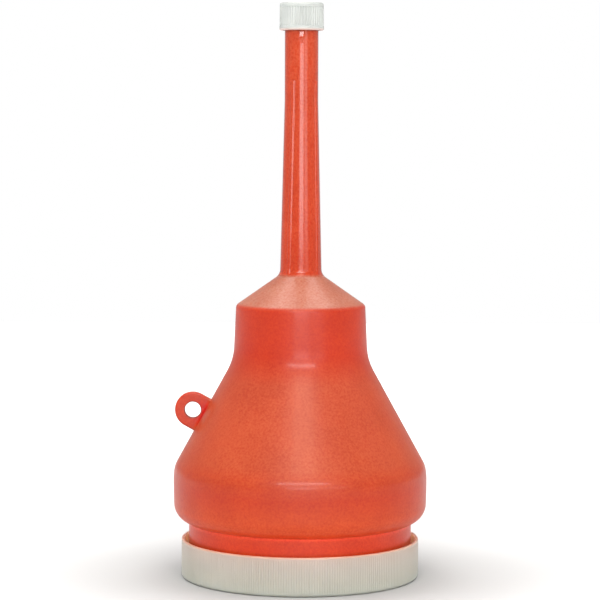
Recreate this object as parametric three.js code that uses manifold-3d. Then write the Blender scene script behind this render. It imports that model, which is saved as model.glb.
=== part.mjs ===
// Double-capped pouring funnel, stored standing on its mouth with the spout pointing up.
// Millimetres, +Z up along the funnel's axis, origin at the centre of the mouth cap's underside.
// The funnel is one hollow moulding with a screw finish at each end. A wide cap closes the
// mouth and is the foot it stands on, a small cap closes the spout, and each holds a sealing liner.
import * as THREE from 'three';
import { mergeVertices } from 'three/addons/utils/BufferGeometryUtils.js';
import Module from 'manifold-3d';

const wasm = await Module();
wasm.setup();

// ---------------------------------------------------------------- driving dimensions

const roundSegments = 56;          // facets round the axis of every turned shape
const arcStep = 15;                // degrees for each facet of a rounded corner
const arcFacet = 0.9;              // shortest facet on a rounded corner
const meshTolerance = 0.004;       // slivers thinner than this are merged away
const seatGap = 0.3;               // clearance left between pieces that touch when tightened
const lipCorner = 0.8;             // roundness of the lip at each screw finish

const mouthCap = {
  height: 19.8,
  bandRadius: 61.2,                // plain bands above and below the grip ribs
  ribCrestRadius: 61.45,
  ribRootRadius: 61.1,
  ribCount: 120,
  ribBottom: 3.0,
  ribTop: 16.6,
  boreRadius: 59.6,
  panelTop: 2.0,                   // inner face of the closed end
  footCorner: 1.5,
  rimCorner: 0.5,
  boreCorner: 0.8,
  footInnerRadius: 45,             // the ring it stands on runs from here to the corner
  footRecess: 0.6,
  linerRadius: 59.0,
  linerThickness: 1.2,
};

const spoutCap = {
  bottom: 281.3,
  top: 295.5,
  bandRadius: 11.4,                // plain band round the open end
  bandHeight: 2.2,
  ribCrestRadius: 11.15,
  ribRootRadius: 10.8,
  ribCount: 48,
  ribTop: 293.4,
  topRadius: 11.0,
  topCorner: 1.0,
  bandCorner: 0.4,
  boreRadius: 10.0,
  boreCorner: 0.3,
  panelBottom: 294.1,              // inner face of the closed end
  linerRadius: 9.7,
  linerThickness: 1.0,
};

const mouthFinish = {
  lip: mouthCap.panelTop + 2 * seatGap + mouthCap.linerThickness,
  radius: 57.5,
  boreRadius: 55.1,
  bellyStart: 28.7,                // where the finish meets the underside of the belly
};

const spoutFinish = {
  lip: spoutCap.panelBottom - 2 * seatGap - spoutCap.linerThickness,
  radius: 8.5,
  boreRadius: 6.8,
  taperEnd: 245.6,                 // the spout is parallel above this height
};

const wall = 1.8;                  // moulding thickness of the bowl
const wallAtMouth = mouthFinish.radius - mouthFinish.boreRadius;

// Outer corners of the bowl from the mouth to the spout, each with its roundness.
const undercut = { radius: mouthFinish.radius, height: mouthFinish.bellyStart, round: 0.5 };
const bellyBottom = { radius: 65.1, height: 30.4, round: 9.6 };
const bellySide = { radius: 65.65, height: 51.5, round: 40 };
const bellyCrease = { radius: 64.85, height: 57.4, round: 13 };
const neckBottom = { radius: 34.6, height: 112.3, round: 20 };
const neckTop = { radius: 33.2, height: 140.6, round: 2.2 };
const spoutBase = { radius: 10.6, height: 156.4, round: 5.5 };
const taperEnd = { radius: spoutFinish.radius, height: spoutFinish.taperEnd, round: 0 };

const mouthThread = {
  pitch: 5.08,
  crest: 1.35,                     // height of the ridge over the surface that it stands on
  rootWidth: 2.6,
  crestWidth: 1.2,
  turns: 1.25,
  firstHeight: 7.2,                // height of the funnel's ridge where it begins
  capTurns: 1.1,
  capCrest: 1.5,
  capOffset: 1.9,                  // the cap's ridge lies this far behind the funnel's
};

const spoutThread = {
  pitch: 3.175,
  crest: 1.15,
  rootWidth: 1.6,
  crestWidth: 0.8,
  turns: 1.5,
  firstHeight: 285.4,
  capTurns: 1.2,
  capCrest: 1.0,
  capOffset: -1.3,
};

const ventRib = {
  count: 4,
  firstAzimuth: -121,              // degrees from +X at the rib's upper end
  twist: -6,                       // degrees that a rib turns on its way down
  top: 255.8,
  bottom: 156.4,
  proud: 0.6,
  rootWidth: 2.6,
  crestWidth: 1.4,
};

const lug = {
  holeX: -55.57,
  holeZ: 86.18,
  holeRadius: 4.13,
  outerRadius: 9.3,
  arcSegments: 14,
  thickness: 4.0,
  reachToWall: 6.6,                // from the hole's centre back into the cone's wall
};

const buried = 0.6;                // depth that an added ridge or rib sinks into its wall

// ---------------------------------------------------------------- outlines

// A chain of corners [radius, height, roundness] becomes points, each round corner an arc.
function roundedOutline(corners) {
  const points = [];
  corners.forEach(([radius, height, roundness], index) => {
    const here = new THREE.Vector2(radius, height);
    if (!roundness) {
      points.push(here);
      return;
    }
    const before = new THREE.Vector2(...corners[index - 1].slice(0, 2)).sub(here).normalize();
    const after = new THREE.Vector2(...corners[index + 1].slice(0, 2)).sub(here).normalize();
    const halfAngle = Math.acos(before.dot(after)) / 2;
    const bisector = before.clone().add(after).normalize();
    const centre = here.clone().addScaledVector(bisector, roundness / Math.sin(halfAngle));
    const start = here.clone().addScaledVector(before, roundness / Math.tan(halfAngle)).sub(centre);
    const end = here.clone().addScaledVector(after, roundness / Math.tan(halfAngle)).sub(centre);
    const sweep = Math.atan2(start.cross(end), start.dot(end));
    const mostByAngle = Math.ceil(Math.abs(THREE.MathUtils.radToDeg(sweep)) / arcStep);
    const mostByLength = Math.floor((Math.abs(sweep) * roundness) / arcFacet);
    const steps = Math.max(1, Math.min(mostByAngle, mostByLength));
    for (let step = 0; step <= steps; step += 1) {
      points.push(start.clone().rotateAround(new THREE.Vector2(), (sweep * step) / steps).add(centre));
    }
  });
  return points;
}

// The bowl's inner corner that matches an outer one, set in square to the two walls it joins.
// An outer convex corner loses the wall from its roundness, and a concave one gains it.
function insetCorner(outer, before, after) {
  const place = ({ radius, height }) => new THREE.Vector2(radius, height);
  const inwards = (from, to) => {
    const along = place(to).sub(place(from)).normalize();
    return new THREE.Vector2(-along.y, along.x);
  };
  const first = inwards(before, outer);
  const second = inwards(outer, after);
  const offset = first.clone().add(second).multiplyScalar(wall / (1 + first.dot(second)));
  const inner = place(outer).add(offset);
  const isConvex = first.cross(second) > 0;
  const least = 0.7;
  const round = isConvex ? Math.max(least, outer.round - wall) : outer.round + wall;
  return [inner.x, inner.y, round];
}

function funnelOutline() {
  const chain = [
    undercut, bellyBottom, bellySide, bellyCrease, neckBottom, neckTop, spoutBase, taperEnd,
  ];
  const outside = [
    [mouthFinish.radius, mouthFinish.lip, lipCorner],
    ...chain.map(({ radius, height, round }) => [radius, height, round]),
    [spoutFinish.radius, spoutFinish.lip, lipCorner],
  ];
  const insetCorners = [];
  for (let corner = chain.length - 2; corner > 0; corner -= 1) {
    insetCorners.push(insetCorner(chain[corner], chain[corner - 1], chain[corner + 1]));
  }
  const underside = Math.atan2(
    bellyBottom.height - undercut.height,
    bellyBottom.radius - undercut.radius,
  );
  const innerUndercut = undercut.height + wall / Math.cos(underside) - wallAtMouth * Math.tan(underside);
  const innerUndercutRound = 2;
  const inside = [
    [spoutFinish.boreRadius, spoutFinish.lip, lipCorner / 2],
    [spoutFinish.boreRadius, spoutFinish.taperEnd, 0],
    ...insetCorners,
    [mouthFinish.boreRadius, innerUndercut, innerUndercutRound],
    [mouthFinish.boreRadius, mouthFinish.lip, lipCorner],
  ];
  const corners = [...outside, ...inside];
  const closed = [corners.at(-1), ...corners, corners[0]];
  const points = roundedOutline(closed.map((corner, index) => {
    const isRepeat = index === 0 || index === closed.length - 1;
    return isRepeat ? [corner[0], corner[1], 0] : corner;
  })).slice(1, -1);
  return [...points, points[0].clone()];
}

function mouthCapOutline() {
  const { height, bandRadius, boreRadius, panelTop, footInnerRadius, footRecess } = mouthCap;
  return roundedOutline([
    [0, footRecess, 0],
    [footInnerRadius - footRecess, footRecess, 0],
    [footInnerRadius, 0, 0],
    [bandRadius, 0, mouthCap.footCorner],
    [bandRadius, height, mouthCap.rimCorner],
    [boreRadius, height, mouthCap.rimCorner],
    [boreRadius, panelTop, mouthCap.boreCorner],
    [0, panelTop, 0],
  ]);
}

function spoutCapOutline() {
  const { bottom, top, bandRadius, bandHeight, boreRadius, ribRootRadius, ribTop, topRadius } = spoutCap;
  return roundedOutline([
    [0, spoutCap.panelBottom, 0],
    [boreRadius, spoutCap.panelBottom, spoutCap.boreCorner],
    [boreRadius, bottom, spoutCap.boreCorner],
    [bandRadius, bottom, spoutCap.bandCorner],
    [bandRadius, bottom + bandHeight, spoutCap.bandCorner],
    [ribRootRadius, bottom + bandHeight, 0],
    [ribRootRadius, ribTop, 0],
    [topRadius, ribTop, 0],
    [topRadius, top, spoutCap.topCorner],
    [0, top, 0],
  ]);
}

// ---------------------------------------------------------------- solids

// A closed geometry becomes a manifold solid, without the slivers that meet the axis.
function toSolid(geometry) {
  const bare = geometry.clone();
  bare.deleteAttribute('normal');
  bare.deleteAttribute('uv');
  const merged = mergeVertices(bare);
  const index = merged.index.array;
  const triangles = [];
  for (let first = 0; first < index.length; first += 3) {
    const [a, b, c] = index.slice(first, first + 3);
    if (a !== b && b !== c && c !== a) triangles.push(a, b, c);
  }
  return new wasm.Manifold(new wasm.Mesh({
    numProp: 3,
    vertProperties: new Float32Array(merged.attributes.position.array),
    triVerts: new Uint32Array(triangles),
  }));
}

function toGeometry(solid) {
  const mesh = solid.simplify(meshTolerance).getMesh();
  const geometry = new THREE.BufferGeometry();
  geometry.setAttribute('position', new THREE.BufferAttribute(mesh.vertProperties, 3));
  geometry.setIndex(new THREE.BufferAttribute(mesh.triVerts, 1));
  geometry.computeVertexNormals();
  return geometry;
}

// An outline in (radius, height), running anticlockwise, is turned about the Z axis.
function turnedSolid(outline) {
  const lathe = new THREE.LatheGeometry(outline, roundSegments);
  lathe.rotateX(Math.PI / 2);
  return toSolid(lathe);
}

// Four-cornered sections, each a list of points in the same order, are joined end to end.
function loftedSolid(sections) {
  const corners = sections[0].length;
  const index = [];
  for (let section = 0; section < sections.length - 1; section += 1) {
    for (let corner = 0; corner < corners; corner += 1) {
      const a = section * corners + corner;
      const b = section * corners + ((corner + 1) % corners);
      index.push(a, b, b + corners, a, b + corners, a + corners);
    }
  }
  const last = (sections.length - 1) * corners;
  index.push(0, 2, 1, 0, 3, 2);
  index.push(last, last + 1, last + 2, last, last + 2, last + 3);
  const geometry = new THREE.BufferGeometry().setFromPoints(sections.flat());
  geometry.setIndex(index);
  return toSolid(geometry);
}

const polar = (radius, angle, height) => new THREE.Vector3(
  radius * Math.cos(angle),
  radius * Math.sin(angle),
  height,
);

// A right-hand thread ridge on a cylinder. A negative crest points inwards, as in a cap.
// It begins part of a facet past +X, so that no edge of it lies along an edge of the cylinder.
function threadRidge({ surface, crest, rootWidth, crestWidth, pitch, turns, firstHeight }) {
  const fadeTurns = 0.12;
  const startTurn = 0.3 / roundSegments;
  const endDepth = 0.3;
  const outwards = Math.sign(crest);
  const root = surface - outwards * buried;
  const steps = Math.round(turns * roundSegments);
  const sections = [];
  for (let step = 0; step <= steps; step += 1) {
    const turn = (turns * step) / steps;
    const fade = Math.min(1, Math.min(turn, turns - turn) / fadeTurns);
    const tip = surface - outwards * endDepth + (crest + outwards * endDepth) * fade;
    const angle = (startTurn + turn) * 2 * Math.PI;
    const height = firstHeight + turn * pitch;
    const section = [
      polar(root, angle, height - rootWidth / 2),
      polar(tip, angle, height - crestWidth / 2),
      polar(tip, angle, height + crestWidth / 2),
      polar(root, angle, height + rootWidth / 2),
    ];
    sections.push(outwards > 0 ? section.reverse() : section);
  }
  return loftedSolid(sections);
}

// The raised rib that keeps an air path open between the spout and the neck it is pushed into.
function ventRibSolid(topAzimuth) {
  const taper = (spoutBase.radius - spoutFinish.radius) / (spoutFinish.taperEnd - spoutBase.height);
  const taperSteps = 4;
  const heights = [ventRib.top];
  for (let step = 0; step <= taperSteps; step += 1) {
    heights.unshift(THREE.MathUtils.lerp(spoutFinish.taperEnd, ventRib.bottom, step / taperSteps));
  }
  const sections = heights.map((height) => {
    const below = Math.max(0, spoutFinish.taperEnd - height);
    const surface = spoutFinish.radius + taper * below;
    const share = (ventRib.top - height) / (ventRib.top - ventRib.bottom);
    const azimuth = THREE.MathUtils.degToRad(topAzimuth + ventRib.twist * share);
    const corner = (radius, width) => {
      const tangent = new THREE.Vector3(-Math.sin(azimuth), Math.cos(azimuth), 0);
      return polar(radius, azimuth, height).addScaledVector(tangent, width / 2);
    };
    return [
      corner(surface - buried, -ventRib.rootWidth),
      corner(surface + ventRib.proud, -ventRib.crestWidth),
      corner(surface + ventRib.proud, ventRib.crestWidth),
      corner(surface - buried, ventRib.rootWidth),
    ];
  });
  return loftedSolid(sections);
}

// A U-shaped ear in the parting plane, square to the cone's wall, with a hole to hang it by.
function lugSolid() {
  const wallSlope = Math.atan2(
    bellyCrease.radius - neckBottom.radius,
    neckBottom.height - bellyCrease.height,
  );
  const shape = new THREE.Shape();
  shape.moveTo(lug.reachToWall, -lug.outerRadius);
  shape.lineTo(lug.reachToWall, lug.outerRadius);
  shape.lineTo(0, lug.outerRadius);
  shape.absarc(0, 0, lug.outerRadius, Math.PI / 2, Math.PI * 1.5, false);
  const hole = new THREE.Path();
  hole.absarc(0, 0, lug.holeRadius, 0, 2 * Math.PI, true);
  shape.holes.push(hole);
  const plate = new THREE.ExtrudeGeometry(shape, {
    depth: lug.thickness,
    bevelEnabled: false,
    curveSegments: lug.arcSegments,
  });
  plate.translate(0, 0, -lug.thickness / 2);
  plate.rotateX(Math.PI / 2);
  plate.rotateY(wallSlope);
  plate.translate(lug.holeX, 0, lug.holeZ);
  return toSolid(plate);
}

// A ring of grip ribs: a star-shaped outline outside, and a round hole inside the cap's wall.
function gripRibs({ count, crestRadius, rootRadius, holeRadius, bottom, top }) {
  const star = new THREE.Shape();
  for (let tip = 0; tip < count * 2; tip += 1) {
    const radius = tip % 2 ? rootRadius : crestRadius;
    const angle = (Math.PI * tip) / count;
    const point = [radius * Math.cos(angle), radius * Math.sin(angle)];
    if (tip) star.lineTo(...point);
    else star.moveTo(...point);
  }
  const hole = new THREE.Path();
  hole.absarc(0, 0, holeRadius, 0, 2 * Math.PI, true);
  star.holes.push(hole);
  const ring = new THREE.ExtrudeGeometry(star, {
    depth: top - bottom,
    bevelEnabled: false,
    curveSegments: roundSegments / 2,
  });
  ring.translate(0, 0, bottom);
  return toSolid(ring);
}

// ---------------------------------------------------------------- pieces

function funnelBody() {
  let solid = turnedSolid(funnelOutline());
  solid = solid.add(threadRidge({ ...mouthThread, surface: mouthFinish.radius }));
  solid = solid.add(threadRidge({ ...spoutThread, surface: spoutFinish.radius }));
  for (let rib = 0; rib < ventRib.count; rib += 1) {
    solid = solid.add(ventRibSolid(ventRib.firstAzimuth + (360 / ventRib.count) * rib));
  }
  return solid.add(lugSolid());
}

// A cap's ridge follows the same helix as the funnel's, so the two stay in mesh as it turns.
function capRidge(thread, surface) {
  return threadRidge({
    ...thread,
    surface,
    crest: -thread.capCrest,
    turns: thread.capTurns,
    firstHeight: thread.firstHeight + thread.capOffset,
  });
}

function mouthCapBody() {
  const ribs = gripRibs({
    count: mouthCap.ribCount,
    crestRadius: mouthCap.ribCrestRadius,
    rootRadius: mouthCap.ribRootRadius,
    holeRadius: (mouthCap.bandRadius + mouthCap.boreRadius) / 2,
    bottom: mouthCap.ribBottom,
    top: mouthCap.ribTop,
  });
  return turnedSolid(mouthCapOutline()).add(ribs).add(capRidge(mouthThread, mouthCap.boreRadius));
}

function spoutCapBody() {
  const ribs = gripRibs({
    count: spoutCap.ribCount,
    crestRadius: spoutCap.ribCrestRadius,
    rootRadius: spoutCap.ribRootRadius,
    holeRadius: (spoutCap.ribRootRadius + spoutCap.boreRadius) / 2,
    bottom: spoutCap.bottom + spoutCap.bandHeight / 2,
    top: spoutCap.ribTop,
  });
  return turnedSolid(spoutCapOutline()).add(ribs).add(capRidge(spoutThread, spoutCap.boreRadius));
}

function linerDisc(radius, bottom, thickness) {
  return turnedSolid([
    new THREE.Vector2(0, bottom),
    new THREE.Vector2(radius, bottom),
    new THREE.Vector2(radius, bottom + thickness),
    new THREE.Vector2(0, bottom + thickness),
  ]);
}

// ---------------------------------------------------------------- assembly

function plastic(color, roughness) {
  return new THREE.MeshStandardMaterial({ color, roughness, metalness: 0 });
}

function addPiece(group, name, solid, material) {
  const mesh = new THREE.Mesh(toGeometry(solid), material);
  mesh.name = name;
  group.add(mesh);
}

const funnel = new THREE.Group();
const linerFoam = plastic('#f1efe8', 0.8);
addPiece(funnel, 'funnel_body', funnelBody(), plastic('#d9482b', 0.35));
addPiece(funnel, 'mouth_cap', mouthCapBody(), plastic('#d3ccc0', 0.45));
addPiece(
  funnel,
  'mouth_cap_liner',
  linerDisc(mouthCap.linerRadius, mouthCap.panelTop + seatGap, mouthCap.linerThickness),
  linerFoam,
);
addPiece(funnel, 'spout_cap', spoutCapBody(), plastic('#eceeea', 0.4));
addPiece(
  funnel,
  'spout_cap_liner',
  linerDisc(spoutCap.linerRadius, spoutFinish.lip + seatGap, spoutCap.linerThickness),
  linerFoam,
);

export default funnel;
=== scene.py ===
"""Looks of the double-capped funnel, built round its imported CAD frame.

Outlines are in millimetres as (radius, height, roundness) corners, and every mesh is made in metres.
Each CAD node is replaced by a finely meshed piece of the same size, with threads, ribs, fillets and a
procedural material. Three of the fillets are a little rounder than the CAD's.
"""
import math
import bpy
import numpy as np
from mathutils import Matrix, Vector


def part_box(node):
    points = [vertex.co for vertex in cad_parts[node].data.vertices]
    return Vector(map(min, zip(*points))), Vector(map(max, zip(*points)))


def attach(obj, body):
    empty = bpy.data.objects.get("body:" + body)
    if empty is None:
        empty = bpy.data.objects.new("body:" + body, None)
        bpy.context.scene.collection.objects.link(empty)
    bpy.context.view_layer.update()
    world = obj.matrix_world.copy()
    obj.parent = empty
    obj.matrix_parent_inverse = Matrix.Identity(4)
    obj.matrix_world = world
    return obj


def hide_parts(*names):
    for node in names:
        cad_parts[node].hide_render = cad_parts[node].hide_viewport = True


MM = 0.001
TAU = 2 * math.pi
TINY = 1e-6
DIGITS = 6
SHARP_ANGLE = math.radians(50)

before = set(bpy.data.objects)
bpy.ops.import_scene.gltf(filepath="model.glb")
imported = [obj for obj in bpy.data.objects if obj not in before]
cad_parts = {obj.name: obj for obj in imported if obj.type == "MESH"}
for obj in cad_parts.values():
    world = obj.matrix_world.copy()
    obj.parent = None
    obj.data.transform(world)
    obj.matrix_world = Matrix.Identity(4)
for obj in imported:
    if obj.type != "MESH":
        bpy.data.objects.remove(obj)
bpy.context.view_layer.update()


# ---------------------------------------------------------------- sizes

def node_sizes(node):
    """Widest radius, bottom and top of a CAD node, in millimetres."""
    low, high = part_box(node)
    return high.y / MM, low.z / MM, high.z / MM


BOWL_RADIUS, MOUTH_LIP, SPOUT_LIP = node_sizes("funnel_body")
MOUTH_CAP_RADIUS, FLOOR_LEVEL, MOUTH_CAP_RIM = node_sizes("mouth_cap")
SPOUT_CAP_RADIUS, SPOUT_CAP_RIM, SPOUT_CAP_TOP = node_sizes("spout_cap")
MOUTH_LINER_RADIUS, MOUTH_LINER_BOTTOM, MOUTH_LINER_TOP = node_sizes("mouth_cap_liner")
SPOUT_LINER_RADIUS, SPOUT_LINER_BOTTOM, SPOUT_LINER_TOP = node_sizes("spout_cap_liner")

WALL = 1.8
MOUTH_FINISH_RADIUS = 57.5
MOUTH_BORE_RADIUS = 55.1
MOUTH_LIP_RADIUS = (MOUTH_FINISH_RADIUS + MOUTH_BORE_RADIUS) / 2
SPOUT_FINISH_RADIUS = 8.5
SPOUT_BORE_RADIUS = 6.8
SPOUT_LIP_RADIUS = (SPOUT_FINISH_RADIUS + SPOUT_BORE_RADIUS) / 2
MOUTH_CAP_BORE = 59.6
SPOUT_CAP_BORE = 10.0

# Sharp corners of the funnel's outside, as (radius, height), from the mouth up to the spout.
UNDERCUT = (MOUTH_FINISH_RADIUS, 28.7)
BOWL_BOTTOM = (65.1, 30.4)
BOWL_SIDE = (BOWL_RADIUS, 51.5)
BOWL_CREASE = (64.85, 57.4)
NECK_BOTTOM = (34.6, 112.3)
NECK_TOP = (33.2, 140.6)
SPOUT_START = (10.6, 156.4)
TAPER_END = (SPOUT_FINISH_RADIUS, 245.6)

# A negative crest is a thread inside a cap, which points at the axis.
MOUTH_THREAD = dict(
    pitch=5.08, crest=1.35, root_width=2.6, crest_width=1.2, turns=1.25, first_height=7.2,
)
MOUTH_CAP_THREAD = dict(MOUTH_THREAD, crest=-1.5, turns=1.1, first_height=9.1)
SPOUT_THREAD = dict(
    pitch=3.175, crest=1.15, root_width=1.6, crest_width=0.8, turns=1.5, first_height=285.4,
)
SPOUT_CAP_THREAD = dict(SPOUT_THREAD, crest=-1.0, turns=1.2, first_height=284.1)

# Azimuths and the twist are in degrees.
VENT_RIBS = dict(count=4, azimuth=-121.0, twist=-6.0, top=255.8, bottom=157.0, proud=0.6, half=1.15)
PARTING_LINE = dict(proud=0.09, half=0.3)
NIB = dict(azimuth=-90.0, top=281.2, bottom=277.9, proud=0.54, half=1.7)
LUG = dict(
    x=-55.57, z=86.18, hole=4.13, outer=9.3, half_thickness=2.0, to_wall=5.59, buried=1.0,
    hole_round=0.5, edge_round=1.1, root_fillet=1.2,
)
LUG_ROOT = dict(x=-50.5, z=84.8)


# ---------------------------------------------------------------- outlines

def corner_arc(before, corner, after, roundness, arc_step):
    """Points of the arc that rounds off a corner, with a step about every arc_step degrees."""
    fewest_steps = 3
    to_before = (before - corner) / np.linalg.norm(before - corner)
    to_after = (after - corner) / np.linalg.norm(after - corner)
    half = math.acos(np.clip(to_before @ to_after, -1, 1)) / 2
    bisector = (to_before + to_after) / np.linalg.norm(to_before + to_after)
    centre = corner + bisector * roundness / math.sin(half)
    start = corner + to_before * roundness / math.tan(half) - centre
    end = corner + to_after * roundness / math.tan(half) - centre
    sweep = math.atan2(start[0] * end[1] - start[1] * end[0], start @ end)
    steps = max(fewest_steps, math.ceil(abs(math.degrees(sweep)) / arc_step))
    for angle in np.linspace(0, sweep, steps + 1):
        turn = np.array(((math.cos(angle), -math.sin(angle)), (math.sin(angle), math.cos(angle))))
        yield centre + turn @ start


def rounded_outline(corners, arc_step):
    """Points of a chain of (radius, height, roundness) corners, with each round corner as an arc."""
    points = []
    for index, (radius, height, roundness) in enumerate(corners):
        here = np.array((radius, height), float)
        if not roundness:
            points.append(here)
            continue
        before = np.array(corners[index - 1][:2])
        after = np.array(corners[(index + 1) % len(corners)][:2])
        points.extend(corner_arc(before, here, after, roundness, arc_step))
    return np.array(points)


def inset_corner(outer, before, after, roundness):
    """The inner corner that lies one wall thickness inside an outer corner."""
    def inwards(start, end):
        along = np.subtract(end, start) / np.linalg.norm(np.subtract(end, start))
        return np.array((-along[1], along[0]))

    first = inwards(before, outer)
    second = inwards(outer, after)
    inner = np.array(outer) + (first + second) * WALL / (1 + first @ second)
    return (*inner, roundness)


def band_cuts(start, end, bands):
    """Shares of a stretch, in order, where it is cut: its two ends and the steps of each band."""
    cuts = {0.0, 1.0}
    rise = end[1] - start[1]
    if abs(rise) > TINY:
        for low, high, step in bands:
            shares = [(height - start[1]) / rise for height in np.arange(low, high + step / 2, step)]
            cuts.update(round(share, DIGITS) for share in shares if 0 < share < 1)
    return sorted(cuts)


def densified(points, longest, bands=()):
    """The same outline with no stretch over `longest`, or over a band's own step inside (low, high, step)."""
    dense = [points[0]]
    for start, end in zip(points[:-1], points[1:]):
        cuts = band_cuts(start, end, bands)
        length = np.linalg.norm(end - start)
        for first, last in zip(cuts[:-1], cuts[1:]):
            pieces = max(1, math.ceil((last - first) * length / longest))
            for piece in range(1, pieces + 1):
                share = first + (last - first) * piece / pieces
                dense.append(start + (end - start) * share)
    return np.array(dense)


def densified_sides(points, turn, first, second):
    """The outline made dense on each side of point number `turn`, and that point's new number.

    Each side has its own (longest, bands).
    """
    before = densified(points[:turn + 1], *first)
    after = densified(points[turn:], *second)
    return np.concatenate((before, after[1:])), len(before) - 1


# ---------------------------------------------------------------- relief on a turned surface

def smooth_step(value):
    """0 below 0 and 1 above 1, with a smooth rise between them."""
    value = np.clip(value, 0, 1)
    return value * value * (3 - 2 * value)


def within_half_turn(angle):
    """The same angle, brought between minus and plus half a turn."""
    return (angle + math.pi) % TAU - math.pi


def thread_relief(height, angle, thread):
    """Height of a right-hand thread ridge above the surface, in millimetres."""
    half_root = thread["root_width"] / 2
    half_crest = thread["crest_width"] / 2
    fade_turns = 0.1
    relief = np.zeros(np.broadcast(height, angle).shape)
    for lap in range(math.ceil(thread["turns"]) + 1):
        turn = (angle % TAU) / TAU + lap
        away = np.abs(height - thread["first_height"] - turn * thread["pitch"])
        flank = smooth_step((half_root - away) / (half_root - half_crest))
        ends = smooth_step(turn / fade_turns) * smooth_step((thread["turns"] - turn) / fade_turns)
        relief = np.maximum(relief, flank * ends)
    return relief * thread["crest"]


def rib_twist(height):
    """Angle by which the vent ribs turn on the way down."""
    share = (VENT_RIBS["top"] - height) / (VENT_RIBS["top"] - VENT_RIBS["bottom"])
    return np.radians(VENT_RIBS["twist"]) * np.clip(share, 0, 1)


def vent_rib_relief(radius, height, angle):
    """Rounded ribs down the spout, cut off square at the top and running out on the shoulder."""
    top_round = 0.7
    run_out = 3
    fullness = 0.8
    relief = np.zeros(np.broadcast(height, angle).shape)
    for rib in range(VENT_RIBS["count"]):
        centre = math.radians(VENT_RIBS["azimuth"] + 360 / VENT_RIBS["count"] * rib)
        offset = within_half_turn(angle - centre - rib_twist(height))
        across = np.clip(np.abs(offset * radius) / VENT_RIBS["half"], 0, 1)
        relief = np.maximum(relief, (1 - across ** 2) ** fullness)
    top = np.sqrt(np.clip((VENT_RIBS["top"] - height) / top_round, 0, 1))
    bottom = smooth_step((height - VENT_RIBS["bottom"] + run_out / 2) / run_out)
    return relief * top * bottom * VENT_RIBS["proud"]


def nib_relief(radius, height, angle):
    """A small wedge just under the spout cap, which stands out most at its lower end."""
    soft = 0.6
    offset = within_half_turn(angle - math.radians(NIB["azimuth"]))
    sides = smooth_step((NIB["half"] - np.abs(offset * radius)) / soft)
    slant = np.clip((NIB["top"] - height) / (NIB["top"] - NIB["bottom"]), 0, 1)
    foot = smooth_step((height - NIB["bottom"] + soft) / soft)
    return NIB["proud"] * sides * slant * foot


def parting_relief(radius, angle):
    """The fine line that the two mould halves leave on the -X and +X sides."""
    across = np.abs((angle + math.pi / 2) % math.pi - math.pi / 2) * radius
    return PARTING_LINE["proud"] * np.exp(-((across / PARTING_LINE["half"]) ** 2))


def grip_ends(height, bottom, top):
    """1 on a band of grip ribs, with a short smooth fall to 0 at its bottom and its top."""
    run_out = 0.5
    return smooth_step((height - bottom) / run_out) * smooth_step((top - height) / run_out)


def grip_relief(angle, height, count, depth, bottom, top):
    """Rounded grip ribs: 0 at a crest and -depth in a groove, with short run-outs at both ends."""
    narrowness = 0.8
    groove = (1 - np.cos(angle * count)) / 2
    return -depth * groove ** narrowness * grip_ends(height, bottom, top)


# ---------------------------------------------------------------- meshes

def even_angles(count, extra=()):
    """Column angles all the way round, with extra ones where the relief is fine."""
    narrowest = 2e-4
    angles = set(np.round(np.arange(count) * TAU / count, DIGITS))
    angles.update(np.round(np.asarray(extra, float) % TAU, DIGITS))
    ordered = sorted(angles)
    kept = [ordered[0]]
    for angle in ordered[1:]:
        if angle - kept[-1] > narrowest:
            kept.append(angle)
    return np.array(kept)


def shaded_smooth(mesh):
    mesh.shade_smooth()
    mesh.set_sharp_from_angle(angle=SHARP_ANGLE)


def mesh_piece(name, vertices, faces):
    mesh = bpy.data.meshes.new(name)
    mesh.from_pydata([tuple(vertex) for vertex in vertices], [], faces)
    mesh.validate()
    shaded_smooth(mesh)
    piece = bpy.data.objects.new(name, mesh)
    bpy.context.scene.collection.objects.link(piece)
    return piece


def turned_faces(first_of_row, on_axis, columns, closed):
    """Faces between neighbouring rows of a turned mesh. A row on the axis is a single point."""
    faces = []
    rows = len(first_of_row)
    for row in range(rows if closed else rows - 1):
        after = (row + 1) % rows
        if on_axis[row] and on_axis[after]:
            continue
        a, b = first_of_row[row], first_of_row[after]
        for column in range(columns):
            beside = (column + 1) % columns
            if on_axis[row]:
                faces.append((a, b + beside, b + column))
            elif on_axis[after]:
                faces.append((a + column, a + beside, b))
            else:
                faces.append((a + column, a + beside, b + beside, b + column))
    return faces


def turned_piece(name, outline, angles, relief=None, closed=True):
    """A solid of revolution in metres. The outline runs anticlockwise, and may start and end on the axis.

    relief(radius, height, angle) gives how far each point stands out from the outline, in millimetres.
    """
    radius = outline[:, :1]
    height = outline[:, 1:]
    angle = np.broadcast_to(angles, (len(outline), len(angles)))
    wide = radius + (relief(radius, height, angle) if relief else 0 * angle)
    x, y = wide * np.cos(angle), wide * np.sin(angle)
    z = np.broadcast_to(height, x.shape)
    on_axis = outline[:, 0] < TINY
    vertices, first_of_row = [], []
    for row in range(len(outline)):
        first_of_row.append(len(vertices))
        if on_axis[row]:
            vertices.append((0.0, 0.0, outline[row, 1]))
        else:
            vertices.extend(zip(x[row], y[row], z[row]))
    faces = turned_faces(first_of_row, on_axis, len(angles), closed)
    return mesh_piece(name, np.array(vertices) * MM, faces)


def joined(piece, addition):
    """piece with the addition's solid joined into its mesh, and the addition removed."""
    union = piece.modifiers.new("union", "BOOLEAN")
    union.operation = "UNION"
    union.solver = "EXACT"
    union.object = addition
    depsgraph = bpy.context.evaluated_depsgraph_get()
    mesh = bpy.data.meshes.new_from_object(piece.evaluated_get(depsgraph))
    piece.modifiers.clear()
    piece.data = mesh
    shaded_smooth(mesh)
    bpy.data.objects.remove(addition)
    return piece


# ---------------------------------------------------------------- funnel

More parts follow.
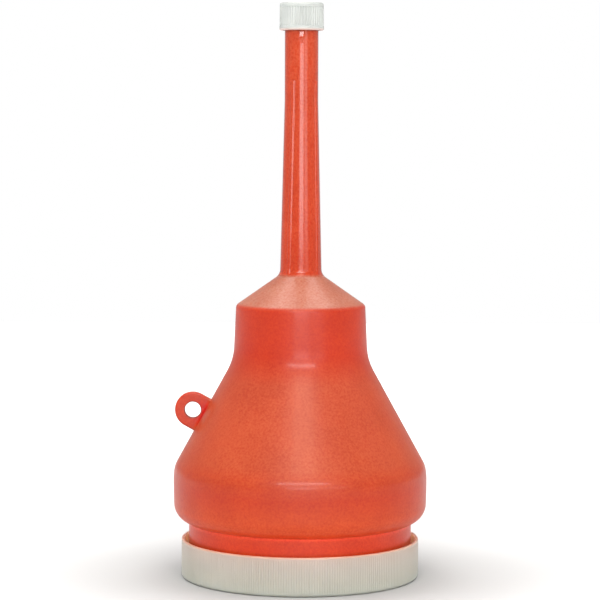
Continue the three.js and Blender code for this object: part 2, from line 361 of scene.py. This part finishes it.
def funnel_outline():
    """The funnel's outline, up its outside and down its inside, and the number of its highest point."""
    outside = [
        (MOUTH_FINISH_RADIUS, MOUTH_LIP, 0.8),
        (*UNDERCUT, 0.4),
        (*BOWL_BOTTOM, 9.6),
        (*BOWL_SIDE, 40.0),
        (*BOWL_CREASE, 14.0),
        (*NECK_BOTTOM, 27.0),
        (*NECK_TOP, 3.0),
        (*SPOUT_START, 5.5),
        (*TAPER_END, 100.0),
        (SPOUT_FINISH_RADIUS, SPOUT_LIP, 0.7),
    ]
    above_undercut = 1.3
    inside = [
        (SPOUT_BORE_RADIUS, SPOUT_LIP, 0.4),
        (SPOUT_BORE_RADIUS, TAPER_END[1], 0),
        inset_corner(SPOUT_START, NECK_TOP, TAPER_END, 7.3),
        inset_corner(NECK_TOP, NECK_BOTTOM, SPOUT_START, 1.2),
        inset_corner(NECK_BOTTOM, BOWL_CREASE, NECK_TOP, 28.8),
        inset_corner(BOWL_CREASE, BOWL_SIDE, NECK_BOTTOM, 12.2),
        inset_corner(BOWL_SIDE, BOWL_BOTTOM, BOWL_CREASE, 38.0),
        inset_corner(BOWL_BOTTOM, UNDERCUT, BOWL_SIDE, 7.8),
        (MOUTH_BORE_RADIUS, UNDERCUT[1] + above_undercut, 2.0),
        (MOUTH_BORE_RADIUS, MOUTH_LIP, 0.7),
    ]
    mouth_thread_rows = (5.0, 16.0, 0.3)
    rib_foot_rows = (VENT_RIBS["bottom"] - 2, VENT_RIBS["bottom"] + 3, 0.5)
    rib_top_rows = (VENT_RIBS["top"] - 1.0, VENT_RIBS["top"] + 0.3, 0.15)
    nib_rows = (NIB["bottom"] - 0.6, NIB["top"], 0.2)
    spout_thread_rows = (SPOUT_THREAD["first_height"] - 1.5, SPOUT_LIP - 0.9, 0.22)
    bands = [mouth_thread_rows, rib_foot_rows, rib_top_rows, nib_rows, spout_thread_rows]
    longest_outside, longest_inside = 4.0, 8.0
    edge = rounded_outline(outside + inside, arc_step=8.0)
    return densified_sides(edge, np.argmax(edge[:, 1]), (longest_outside, bands), (longest_inside,))


def rounded_drop(roundness, from_edge):
    """How far a rounded edge lies below the flat at a distance from the edge."""
    short = max(0.0, roundness - from_edge)
    return roundness - math.sqrt(max(0.0, roundness ** 2 - short ** 2))


def lug_half_thickness(u, v, from_hole):
    """Half the lug's thickness at (u, v) from its hole's centre, with round edges and a root fillet."""
    from_edge = LUG["outer"] - (math.hypot(u, v) if u < 0 else abs(v))
    drop = max(rounded_drop(LUG["hole_round"], from_hole), rounded_drop(LUG["edge_round"], from_edge))
    fillet = LUG["root_fillet"]
    near_wall = min(max(u - (LUG["to_wall"] - fillet), 0.0), fillet)
    flare = fillet - math.sqrt(max(0.0, fillet ** 2 - near_wall ** 2))
    return LUG["half_thickness"] - drop + flare


def lug_line(angle):
    """Points (u, v, half thickness) from the hole out to the lug's edge. u points at the cone's wall."""
    hole_zone, edge_zone = 0.22, 0.72
    shares = np.concatenate((
        np.linspace(0, hole_zone, 8)[:-1],
        np.linspace(hole_zone, edge_zone, 8)[:-1],
        np.linspace(edge_zone, 1, 12),
    ))
    u, v = math.cos(angle), math.sin(angle)
    reach = LUG["outer"]
    if u > 0:
        reach = min(LUG["outer"] / max(abs(v), TINY), (LUG["to_wall"] + LUG["buried"]) / u)
    line = []
    for share in shares:
        distance = LUG["hole"] + (reach - LUG["hole"]) * share
        half = lug_half_thickness(u * distance, v * distance, distance - LUG["hole"])
        line.append((u * distance, v * distance, half))
    return line


def lug_faces(columns, count):
    """Faces of the lug's two flat sides, its hole and its edge, where each line has `count` points."""
    faces = []
    other = columns * count
    for column in range(columns):
        beside = (column + 1) % columns
        for ring in range(count - 1):
            a, b = column * count + ring, beside * count + ring
            faces.append((a, a + 1, b + 1, b))
            faces.append((other + a, other + b, other + b + 1, other + a + 1))
        a, b = column * count, beside * count
        faces.append((a, b, other + b, other + a))
        a, b = a + count - 1, b + count - 1
        faces.append((a, other + a, other + b, b))
    return faces


def lug_piece():
    """A U-shaped ear with rounded edges round its hole, which sinks into the cone's wall."""
    columns = 96
    slope = math.atan2(BOWL_CREASE[0] - NECK_BOTTOM[0], NECK_BOTTOM[1] - BOWL_CREASE[1])
    lines = [lug_line(angle) for angle in np.arange(columns) * TAU / columns]
    vertices = []
    for side in (-1, 1):
        for line in lines:
            for u, v, half in line:
                x = LUG["x"] + u * math.cos(slope) + v * math.sin(slope)
                z = LUG["z"] - u * math.sin(slope) + v * math.cos(slope)
                vertices.append((x, side * half, z))
    return mesh_piece("lug", np.array(vertices) * MM, lug_faces(columns, len(lines[0])))


def funnel_piece():
    points, tip = funnel_outline()
    outside = (np.arange(len(points)) <= tip)[:, None]
    lip_margin = 1

    def relief(radius, height, angle):
        ridges = (
            thread_relief(height, angle, MOUTH_THREAD)
            + thread_relief(height, angle, SPOUT_THREAD)
            + vent_rib_relief(radius, height, angle)
            + nib_relief(radius, height, angle)
        )
        off_lips = (height > MOUTH_LIP + lip_margin) & (height < SPOUT_LIP - lip_margin)
        return np.where(outside, ridges + parting_relief(radius, angle) * off_lips, 0)

    columns = 240
    beside_line = np.radians((0.12, 0.25, 0.4, 0.6, 0.9))
    extra = np.concatenate([side + np.concatenate((beside_line, -beside_line)) for side in (0, math.pi)])
    body = turned_piece("funnel_moulding", points, even_angles(columns, extra), relief)
    return joined(body, lug_piece())


# ---------------------------------------------------------------- caps and liners

def mouth_cap_outline():
    """The mouth cap's outline, from its underside round to its inside, and its highest point's number."""
    middle, recess, panel_top = 0.6, 0.9, 2.0
    recess_start, recess_end = 18.0, 44.0
    foot_start, foot_inside = 44.8, 45.4
    step = 0.4
    side = MOUTH_CAP_RADIUS - 0.2
    corners = [
        (0, middle, 0),
        (recess_start, middle, 0),
        (recess_start + step, recess, 0.3),
        (recess_end - step, recess, 0.3),
        (recess_end, middle, 0.3),
        (foot_start, middle, 0.3),
        (foot_inside, FLOOR_LEVEL, 0.3),
        (side, FLOOR_LEVEL, 1.5),
        (side, MOUTH_CAP_RIM, 0.55),
        (MOUTH_CAP_BORE, MOUTH_CAP_RIM, 0.55),
        (MOUTH_CAP_BORE, panel_top, 0.8),
        (0, panel_top, 0),
    ]
    rib_end_rows = [(1.2, 2.0, 0.2), (17.9, 18.7, 0.2)]
    thread_rows = [(7.7, 16.2, 0.5)]
    longest_outside, longest_inside = 12.0, 16.0
    edge = rounded_outline(corners, arc_step=30)
    sides = (longest_outside, rib_end_rows), (longest_inside, thread_rows)
    return densified_sides(edge, np.argmax(edge[:, 1]), *sides)


def mouth_cap_piece():
    rib_count = 300
    columns_per_rib = 4
    rib_bottom, rib_top = 1.3, 18.6
    groove_depth = 0.2
    crest = 0.12
    points, rim = mouth_cap_outline()
    rows = np.arange(len(points))
    rib_zone = MOUTH_CAP_RADIUS - 0.9
    thread_zone = MOUTH_CAP_BORE - 0.1
    outer = ((rows <= rim) & (points[:, 0] > rib_zone))[:, None]
    inner = ((rows > rim) & (points[:, 0] > thread_zone))[:, None]

    def relief(radius, height, angle):
        raised = crest * grip_ends(height, rib_bottom, rib_top)
        grips = raised + grip_relief(angle, height, rib_count, groove_depth, rib_bottom, rib_top)
        ridge = thread_relief(height, angle, MOUTH_CAP_THREAD)
        return np.where(outer, grips, 0) + np.where(inner, ridge, 0)

    angles = even_angles(rib_count * columns_per_rib)
    return turned_piece("mouth_cap_shell", points, angles, relief, closed=False)


def spout_cap_piece():
    rib_count = 48
    columns_per_rib = 10
    groove_depth = 0.42
    panel = 294.1
    band_top = SPOUT_CAP_RIM + 2.2
    rib_bottom, rib_top = band_top - 0.3, 293.4
    side = 11.25
    top_edge, top_recess, recess_depth = 7.6, 7.2, 0.25
    corners = [
        (0, panel, 0),
        (SPOUT_CAP_BORE, panel, 0.3),
        (SPOUT_CAP_BORE, SPOUT_CAP_RIM, 0.3),
        (SPOUT_CAP_RADIUS, SPOUT_CAP_RIM, 0.9),
        (SPOUT_CAP_RADIUS, band_top, 0.4),
        (side, band_top + 0.1, 0),
        (side, SPOUT_CAP_TOP, 1.3),
        (top_edge, SPOUT_CAP_TOP, 0.3),
        (top_recess, SPOUT_CAP_TOP - recess_depth, 0.3),
        (0, SPOUT_CAP_TOP - recess_depth, 0),
    ]
    rib_end_rows = [(band_top, band_top + 0.8, 0.16), (rib_top - 0.8, rib_top + 0.3, 0.16)]
    thread_rows = [(283.0, 290.0, 0.25)]
    longest = 3.0
    points = densified(rounded_outline(corners, arc_step=10), longest, rib_end_rows + thread_rows)
    rows = np.arange(len(points))
    rim = np.argmin(points[:, 1])
    rib_zone = side - 0.2
    thread_zone = SPOUT_CAP_BORE - 0.1
    outer = ((rows > rim) & (points[:, 0] > rib_zone) & (points[:, 1] > band_top))[:, None]
    inner = ((rows < rim) & (points[:, 0] > thread_zone))[:, None]

    def relief(radius, height, angle):
        grips = grip_relief(angle, height, rib_count, groove_depth, rib_bottom, rib_top)
        ridge = thread_relief(height, angle, SPOUT_CAP_THREAD)
        return np.where(outer, grips, 0) + np.where(inner, ridge, 0)

    angles = even_angles(rib_count * columns_per_rib)
    return turned_piece("spout_cap_shell", points, angles, relief, closed=False)


def liner_piece(name, radius, bottom, top, lip_radius, lip_side):
    """A foam disc with the funnel's lip pressed into the side that it seals."""
    dent = 0.12
    low_dent = dent if lip_side < 0 else 0
    high_dent = dent if lip_side > 0 else 0
    half = 1.0
    longest = 10.0
    columns = 160
    corners = [
        (0, bottom, 0),
        (lip_radius - half, bottom, 0),
        (lip_radius, bottom + low_dent, 0),
        (lip_radius + half, bottom, 0),
        (radius, bottom, 0.2),
        (radius, top, 0.2),
        (lip_radius + half, top, 0),
        (lip_radius, top - high_dent, 0),
        (lip_radius - half, top, 0),
        (0, top, 0),
    ]
    points = densified(rounded_outline(corners, arc_step=20), longest)
    return turned_piece(name, points, even_angles(columns), closed=False)


# ---------------------------------------------------------------- material nodes

# Numbers of a Mix node's colour sockets, which share their names with its other kinds of socket.
MIX_FIRST, MIX_SECOND, MIX_RESULT = 6, 7, 2


def new_material(name):
    material = bpy.data.materials.new(name)
    material.use_nodes = True
    nodes = material.node_tree.nodes
    nodes.clear()
    shader = nodes.new("ShaderNodeBsdfPrincipled")
    output = nodes.new("ShaderNodeOutputMaterial")
    material.node_tree.links.new(shader.outputs["BSDF"], output.inputs["Surface"])
    return material, shader


def linked(material, source, target):
    material.node_tree.links.new(source, target)


def set_sockets(shader, values):
    for socket, value in values.items():
        shader.inputs[socket].default_value = value


def object_place(material):
    return material.node_tree.nodes.new("ShaderNodeTexCoord").outputs["Object"]


def noise(material, scale, detail=2.0, roughness=0.5):
    node = material.node_tree.nodes.new("ShaderNodeTexNoise")
    set_sockets(node, {"Scale": scale, "Detail": detail, "Roughness": roughness})
    linked(material, object_place(material), node.inputs["Vector"])
    return node.outputs["Fac"]


def ramp(material, factor, stops):
    """A colour that follows (position, colour) stops."""
    node = material.node_tree.nodes.new("ShaderNodeValToRGB")
    elements = node.color_ramp.elements
    while len(elements) < len(stops):
        elements.new(0.5)
    for element, (position, color) in zip(elements, stops):
        element.position = position
        element.color = (*color, 1)
    linked(material, factor, node.inputs["Fac"])
    return node.outputs["Color"]


def mottled(material, texture, dark, bright, dark_to=0.3, bright_from=0.7):
    """Dark where the texture is under dark_to, and bright where it is over bright_from."""
    return ramp(material, texture, [(dark_to, dark), (bright_from, bright)])


def height_above_floor(material):
    """Height in metres."""
    split = material.node_tree.nodes.new("ShaderNodeSeparateXYZ")
    linked(material, object_place(material), split.inputs["Vector"])
    return split.outputs["Z"]


def distance_from(material, centre, across=(1, 1, 1)):
    """Distance from a point, in metres. A zero in across leaves that direction out."""
    kept = object_place(material)
    for operation, vector in (("SUBTRACT", centre), ("MULTIPLY", across)):
        step = material.node_tree.nodes.new("ShaderNodeVectorMath")
        step.operation = operation
        step.inputs[1].default_value = vector
        linked(material, kept, step.inputs[0])
        kept = step.outputs["Vector"]
    length = material.node_tree.nodes.new("ShaderNodeVectorMath")
    length.operation = "LENGTH"
    linked(material, kept, length.inputs[0])
    return length.outputs["Value"]


def changing(material, value, start, end, first=0.0, last=1.0, interpolation="SMOOTHSTEP"):
    """The first number where value is start, passing to the last where it is end."""
    node = material.node_tree.nodes.new("ShaderNodeMapRange")
    node.interpolation_type = interpolation
    set_sockets(node, {"From Min": start, "From Max": end, "To Min": first, "To Max": last})
    linked(material, value, node.inputs["Value"])
    return node.outputs["Result"]


def multiplied(material, first, second):
    node = material.node_tree.nodes.new("ShaderNodeMath")
    node.operation = "MULTIPLY"
    linked(material, first, node.inputs[0])
    linked(material, second, node.inputs[1])
    return node.outputs["Value"]


def mixed(material, factor, first, second, blend="MIX"):
    """Two colours mixed. Each of the factor and the colours may be a socket or a fixed value."""
    node = material.node_tree.nodes.new("ShaderNodeMix")
    node.data_type = "RGBA"
    node.blend_type = blend
    sockets = node.inputs["Factor"], node.inputs[MIX_FIRST], node.inputs[MIX_SECOND]
    for socket, value in zip(sockets, (factor, first, second)):
        if isinstance(value, bpy.types.NodeSocket):
            linked(material, value, socket)
        elif isinstance(value, (int, float)):
            socket.default_value = value
        else:
            socket.default_value = (*value, 1)
    return node.outputs[MIX_RESULT]


def bump(material, texture, strength, distance, normal=None):
    node = material.node_tree.nodes.new("ShaderNodeBump")
    set_sockets(node, {"Strength": strength, "Distance": distance})
    linked(material, texture, node.inputs["Height"])
    if normal is not None:
        linked(material, normal, node.inputs["Normal"])
    return node.outputs["Normal"]


def varied_roughness(material, shader, scale, low, high):
    rough = changing(material, noise(material, scale, detail=3), 0, 1, low, high, "LINEAR")
    linked(material, rough, shader.inputs["Roughness"])


# ---------------------------------------------------------------- materials

WHITE = (1, 1, 1)

# Positions in the funnel's colours are shares of this height, in millimetres.
FUNNEL_COLORS_TOP = 300
FUNNEL_COLORS_AND_PAINTED_LIGHT = [
    (0.066, (0.40, 0.036, 0.004)),
    # Painted light: stops 0.071 to 0.089 brighten the finish between the cap's rim and the bowl, which lies
    # in the bowl's shade.
    (0.071, (0.49, 0.034, 0.003)),
    (0.089, (0.48, 0.036, 0.004)),
    # Painted light: stops 0.093 to 0.127 brighten the undercut crease and the bowl's underside, in place of
    # the light thrown up from the floor.
    (0.093, (0.72, 0.056, 0.012)),
    (0.0965, (0.80, 0.088, 0.024)),
    (0.110, (0.55, 0.070, 0.016)),
    (0.127, (0.42, 0.048, 0.007)),
    (0.16, (0.38, 0.031, 0.002)),
    (0.21, (0.34, 0.052, 0.014)),
    (0.34, (0.335, 0.049, 0.015)),
    (0.39, (0.36, 0.023, 0.002)),
    (0.468, (0.36, 0.024, 0.002)),
    # Painted sheen: the pale stops 0.472 to 0.519 give the shoulder the look of the overhead light's sheen.
    (0.472, (0.32, 0.120, 0.077)),
    (0.519, (0.32, 0.116, 0.073)),
    (0.522, (0.38, 0.041, 0.012)),
    (1.0, (0.38, 0.056, 0.022)),
]
LUG_COLOR = (0.40, 0.032, 0.004)
# Deeper red of the thicker plastic at the lug's root, with painted shade for its crease.
LUG_ROOT_RED_AND_PAINTED_SHADE = (0.40, 0.006, 0.001)
# Painted shade inside the lug's hole.
LUG_HOLE_PAINTED_SHADE = (0.24, 0.035, 0.016)

# Positions are shares of the mouth cap's height. The warmer upper stops, peach at the rim, are painted red
# light from the funnel.
MOUTH_CAP_COLORS_AND_PAINTED_LIGHT = [
    (0.0, (0.355, 0.365, 0.32)),
    (0.30, (0.375, 0.355, 0.305)),
    (0.80, (0.385, 0.335, 0.295)),
    (0.95, (0.385, 0.32, 0.275)),
    (1.0, (0.45, 0.225, 0.16)),
]
# Painted glow: the cap's inside wall is a bright peach, for the light that comes through the milky cap.
MOUTH_CAP_INSIDE_PAINTED_GLOW = (1.0, 0.52, 0.42)

# Positions are distances from the funnel's foot, in metres. The darker stops near the foot are a painted
# shadow.
FLOOR_COLORS_AND_PAINTED_SHADOW = [
    (0.07, (0.34, 0.34, 0.338)),
    (0.13, (0.46, 0.46, 0.458)),
    (0.35, (0.62, 0.62, 0.618)),
    (0.80, (0.85, 0.85, 0.848)),
]


def color_by_height(material, top, stops):
    """A colour that follows stops from the floor up to top, in millimetres."""
    share = changing(material, height_above_floor(material), 0, top * MM, interpolation="LINEAR")
    return ramp(material, share, stops)


def with_lug_colors_and_painted_shade(material, color):
    """The funnel's colour with the lug tinted, its root a deeper red with painted shade, and painted shade in
    its hole.
    """
    lug_centre = (LUG["x"] * MM, 0, LUG["z"] * MM)
    root_centre = (LUG_ROOT["x"] * MM, 0, LUG_ROOT["z"] * MM)
    lug_fade = 10.5 * MM, 8.5 * MM
    root_fade = 8.5 * MM, 3.0 * MM
    hole_fade = (LUG["hole"] + 0.8) * MM, (LUG["hole"] + 0.2) * MM
    on_lug = changing(material, distance_from(material, lug_centre), *lug_fade)
    in_root = changing(material, distance_from(material, root_centre), *root_fade)
    in_hole = changing(material, distance_from(material, lug_centre, across=(1, 0, 1)), *hole_fade)
    color = mixed(material, on_lug, color, LUG_COLOR)
    # Painted shade: the lug's root crease and its hole are darkened.
    color = mixed(material, in_root, color, LUG_ROOT_RED_AND_PAINTED_SHADE)
    return mixed(material, in_hole, color, LUG_HOLE_PAINTED_SHADE)


def funnel_color(material):
    color = with_lug_colors_and_painted_shade(material, color_by_height(material, FUNNEL_COLORS_TOP, FUNNEL_COLORS_AND_PAINTED_LIGHT))
    cloudy = noise(material, scale=45, detail=4, roughness=0.55)
    grainy = noise(material, scale=900, detail=2, roughness=0.6)
    blotches = mottled(material, cloudy, (0.90, 0.80, 0.75), WHITE, dark_to=0.35, bright_from=0.65)
    grains = mottled(material, grainy, (0.84, 0.52, 0.34), WHITE, bright_from=0.65)
    color = mixed(material, 1.0, color, blotches, "MULTIPLY")
    return mixed(material, 1.0, color, grains, "MULTIPLY")


def funnel_plastic():
    """Satin orange-red polyethylene, with a paler shoulder that is a painted sheen of the overhead light,
    painted light on the finish and on the bowl's underside, and a glossier spout.
    """
    body_roughness, spout_roughness = 0.46, 0.12
    body_top, spout_bottom = 152 * MM, 159 * MM
    material, shader = new_material("funnel_plastic")
    linked(material, funnel_color(material), shader.inputs["Base Color"])
    height = height_above_floor(material)
    rough = changing(material, height, body_top, spout_bottom, body_roughness, spout_roughness)
    patches = changing(material, noise(material, scale=160, detail=3), 0, 1, 0.85, 1.15, "LINEAR")
    linked(material, multiplied(material, rough, patches), shader.inputs["Roughness"])
    fine = noise(material, scale=700, detail=3, roughness=0.55)
    broad = noise(material, scale=90, detail=2, roughness=0.5)
    peel = bump(material, fine, strength=0.14, distance=0.0003)
    waves = bump(material, broad, strength=0.06, distance=0.001, normal=peel)
    linked(material, waves, shader.inputs["Normal"])
    set_sockets(shader, {
        "IOR": 1.5,
        "Specular IOR Level": 0.25,
        "Coat Weight": 0.15,
        "Coat Roughness": 0.17,
        "Subsurface Weight": 0.15,
        "Subsurface Radius": (1.0, 0.25, 0.12),
        "Subsurface Scale": 0.003,
    })
    return material


def mouth_cap_plastic():
    """Natural milky polypropylene, with painted red light from the funnel on its upper part and a painted
    glow on its inside wall.
    """
    material, shader = new_material("mouth_cap_plastic")
    by_height = color_by_height(material, MOUTH_CAP_RIM, MOUTH_CAP_COLORS_AND_PAINTED_LIGHT)
    clouds = mottled(material, noise(material, scale=60, detail=3), (0.92, 0.93, 0.92), WHITE)
    outside = mixed(material, 1.0, by_height, clouds, "MULTIPLY")
    from_axis = distance_from(material, (0, 0, 0), across=(1, 1, 0))
    inside = changing(material, from_axis, (MOUTH_CAP_BORE + 0.5) * MM, (MOUTH_CAP_BORE + 0.1) * MM)
    # Painted glow on the cap's inside wall.
    color = mixed(material, inside, outside, MOUTH_CAP_INSIDE_PAINTED_GLOW)
    linked(material, color, shader.inputs["Base Color"])
    varied_roughness(material, shader, scale=120, low=0.38, high=0.5)
    grain = bump(material, noise(material, scale=800), strength=0.15, distance=0.0003)
    linked(material, grain, shader.inputs["Normal"])
    set_sockets(shader, {
        "IOR": 1.5,
        "Subsurface Weight": 0.9,
        "Subsurface Radius": (1.0, 0.9, 0.75),
        "Subsurface Scale": 0.007,
    })
    return material


def spout_cap_plastic():
    """White moulded polypropylene, faintly clouded, with painted red light from the funnel on its lower rim.
    """
    material, shader = new_material("spout_cap_plastic")
    cloudy = noise(material, scale=150, detail=3)
    clouds = mottled(material, cloudy, (0.32, 0.335, 0.325), (0.37, 0.385, 0.37))
    height = height_above_floor(material)
    at_rim = changing(material, height, (SPOUT_CAP_RIM + 1.4) * MM, (SPOUT_CAP_RIM + 0.2) * MM)
    # Painted red light from the funnel on the cap's lower rim.
    linked(material, mixed(material, at_rim, clouds, (0.46, 0.335, 0.30)), shader.inputs["Base Color"])
    varied_roughness(material, shader, scale=300, low=0.32, high=0.45)
    grain = bump(material, noise(material, scale=1200), strength=0.15, distance=0.0002)
    linked(material, grain, shader.inputs["Normal"])
    set_sockets(shader, {
        "Subsurface Weight": 0.2,
        "Subsurface Radius": (1.0, 0.95, 0.9),
        "Subsurface Scale": 0.002,
    })
    return material


def liner_foam():
    """Closed-cell foam with fine pores."""
    material, shader = new_material("liner_foam")
    cloudy = noise(material, scale=200, detail=4, roughness=0.6)
    tint = mottled(material, cloudy, (0.78, 0.77, 0.72), (0.86, 0.85, 0.80))
    linked(material, tint, shader.inputs["Base Color"])
    varied_roughness(material, shader, scale=400, low=0.7, high=0.9)
    pores = bump(material, noise(material, scale=1500, roughness=0.6), strength=0.4, distance=0.0003)
    linked(material, pores, shader.inputs["Normal"])
    return material


def studio_floor():
    """A pale matt floor with a painted shadow, which makes it darker near the funnel's foot."""
    material, shader = new_material("studio_floor")
    # Painted shadow round the funnel's foot.
    tint = ramp(material, distance_from(material, (0, 0, 0)), FLOOR_COLORS_AND_PAINTED_SHADOW)
    linked(material, tint, shader.inputs["Base Color"])
    set_sockets(shader, {"Roughness": 0.85, "Specular IOR Level": 0.2})
    return material


# ---------------------------------------------------------------- studio

# Angles are in degrees and sizes in metres. Azimuth 0 is the camera's side, and 90 is +X.
SOFTBOXES = [
    dict(name="top", azimuth=180, elevation=72, distance=1.3, width=1.5, height=0.5, radiance=3.0),
    dict(name="back", azimuth=188, elevation=18, distance=1.6, width=2.4, height=1.1, radiance=0.6,
         mirrored=False),
    dict(name="key", azimuth=2, elevation=23.4, distance=1.4, width=1.1, height=0.14, radiance=25.5),
    dict(name="front", azimuth=2, elevation=5.4, distance=1.1, width=0.5, height=0.17, radiance=9.4),
    dict(name="right", azimuth=30, elevation=5.2, distance=1.1, width=0.38, height=0.18, radiance=4.0),
    dict(name="high", azimuth=3, elevation=53, distance=1.4, width=0.95, height=0.3, radiance=2.3),
    dict(name="high_middle", azimuth=4, elevation=48, distance=1.4, width=0.5, height=0.3, radiance=7.0,
         color=(1.0, 0.87, 0.62)),
    dict(name="left_side", azimuth=-85, elevation=25, distance=1.5, width=0.9, height=0.9, radiance=4.5,
         mirrored=False),
    dict(name="right_side", azimuth=85, elevation=25, distance=1.5, width=0.9, height=0.9, radiance=3.1,
         mirrored=False),
]


def add_camera():
    """A long lens 1.25 m in front of the funnel, which looks slightly down. Angles are in degrees."""
    tilt_down = 4.432
    roll = -0.2
    data = bpy.data.cameras.new("camera")
    data.lens = 145.9
    data.sensor_width = 36
    camera = bpy.data.objects.new("camera", data)
    camera.location = (-0.00072, -1.25, 0.24)
    camera.rotation_euler = (math.radians(90 - tilt_down), math.radians(roll), 0)
    bpy.context.scene.collection.objects.link(camera)
    bpy.context.scene.camera = camera


def add_softbox(name, azimuth, elevation, distance, width, height, radiance, mirrored=True, color=WHITE):
    """A rectangular light that faces the funnel. Only a mirrored one shows in glossy surfaces."""
    target = (0, 0, 0.14)
    data = bpy.data.lights.new(name, "AREA")
    data.shape = "RECTANGLE"
    data.size = width
    data.size_y = height
    data.energy = radiance * math.pi * width * height
    data.color = color
    light = bpy.data.objects.new(name, data)
    turn, rise = math.radians(azimuth), math.radians(elevation)
    away = (
        math.sin(turn) * math.cos(rise) * distance,
        -math.cos(turn) * math.cos(rise) * distance,
        math.sin(rise) * distance,
    )
    light.location = [centre + step for centre, step in zip(target, away)]
    light.rotation_euler = (math.pi / 2 - rise, 0, turn)
    light.visible_camera = False
    light.visible_glossy = mirrored
    bpy.context.scene.collection.objects.link(light)


def add_overhead(tilt, spread, irradiance):
    """A round glow above the object, tilted away from the camera. Angles are in degrees."""
    data = bpy.data.lights.new("overhead", "SUN")
    data.angle = math.radians(spread)
    data.energy = irradiance
    light = bpy.data.objects.new("overhead", data)
    light.rotation_euler = (math.radians(-tilt), 0, 0)
    bpy.context.scene.collection.objects.link(light)


def add_surround(shown, lighting):
    """A white surround that is brighter to the eye than the light it gives."""
    world = bpy.data.worlds.new("surround")
    world.use_nodes = True
    nodes, links = world.node_tree.nodes, world.node_tree.links
    nodes.clear()
    output = nodes.new("ShaderNodeOutputWorld")
    mix = nodes.new("ShaderNodeMixShader")
    path = nodes.new("ShaderNodeLightPath")
    links.new(path.outputs["Is Camera Ray"], mix.inputs["Fac"])
    for shader_input, strength in ((1, lighting), (2, shown)):
        background = nodes.new("ShaderNodeBackground")
        set_sockets(background, {"Color": (*WHITE, 1), "Strength": strength})
        links.new(background.outputs["Background"], mix.inputs[shader_input])
    links.new(mix.outputs["Shader"], output.inputs["Surface"])
    bpy.context.scene.world = world


def add_floor():
    half = 1.5
    level = -0.0001
    corners = [(-half, -half, level), (half, -half, level), (half, half, level), (-half, half, level)]
    floor = mesh_piece("studio_floor", corners, [(0, 1, 2, 3)])
    floor.data.materials.append(studio_floor())


def place(piece, material, body, node):
    piece.data.materials.clear()
    piece.data.materials.append(material)
    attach(piece, body)
    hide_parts(node)


add_camera()
add_surround(shown=1.0, lighting=0.55)
add_overhead(tilt=2, spread=60, irradiance=2.2)
for softbox in SOFTBOXES:
    add_softbox(**softbox)
add_floor()
bpy.context.scene.view_settings.view_transform = "Standard"

foam = liner_foam()
place(funnel_piece(), funnel_plastic(), "funnel", "funnel_body")
place(mouth_cap_piece(), mouth_cap_plastic(), "mouth_cap", "mouth_cap")
place(spout_cap_piece(), spout_cap_plastic(), "spout_cap", "spout_cap")
place(
    liner_piece(
        "mouth_liner_disc", MOUTH_LINER_RADIUS, MOUTH_LINER_BOTTOM, MOUTH_LINER_TOP, MOUTH_LIP_RADIUS, 1,
    ),
    foam, "mouth_liner", "mouth_cap_liner",
)
place(
    liner_piece(
        "spout_liner_disc", SPOUT_LINER_RADIUS, SPOUT_LINER_BOTTOM, SPOUT_LINER_TOP, SPOUT_LIP_RADIUS, -1,
    ),
    foam, "spout_liner", "spout_cap_liner",
)
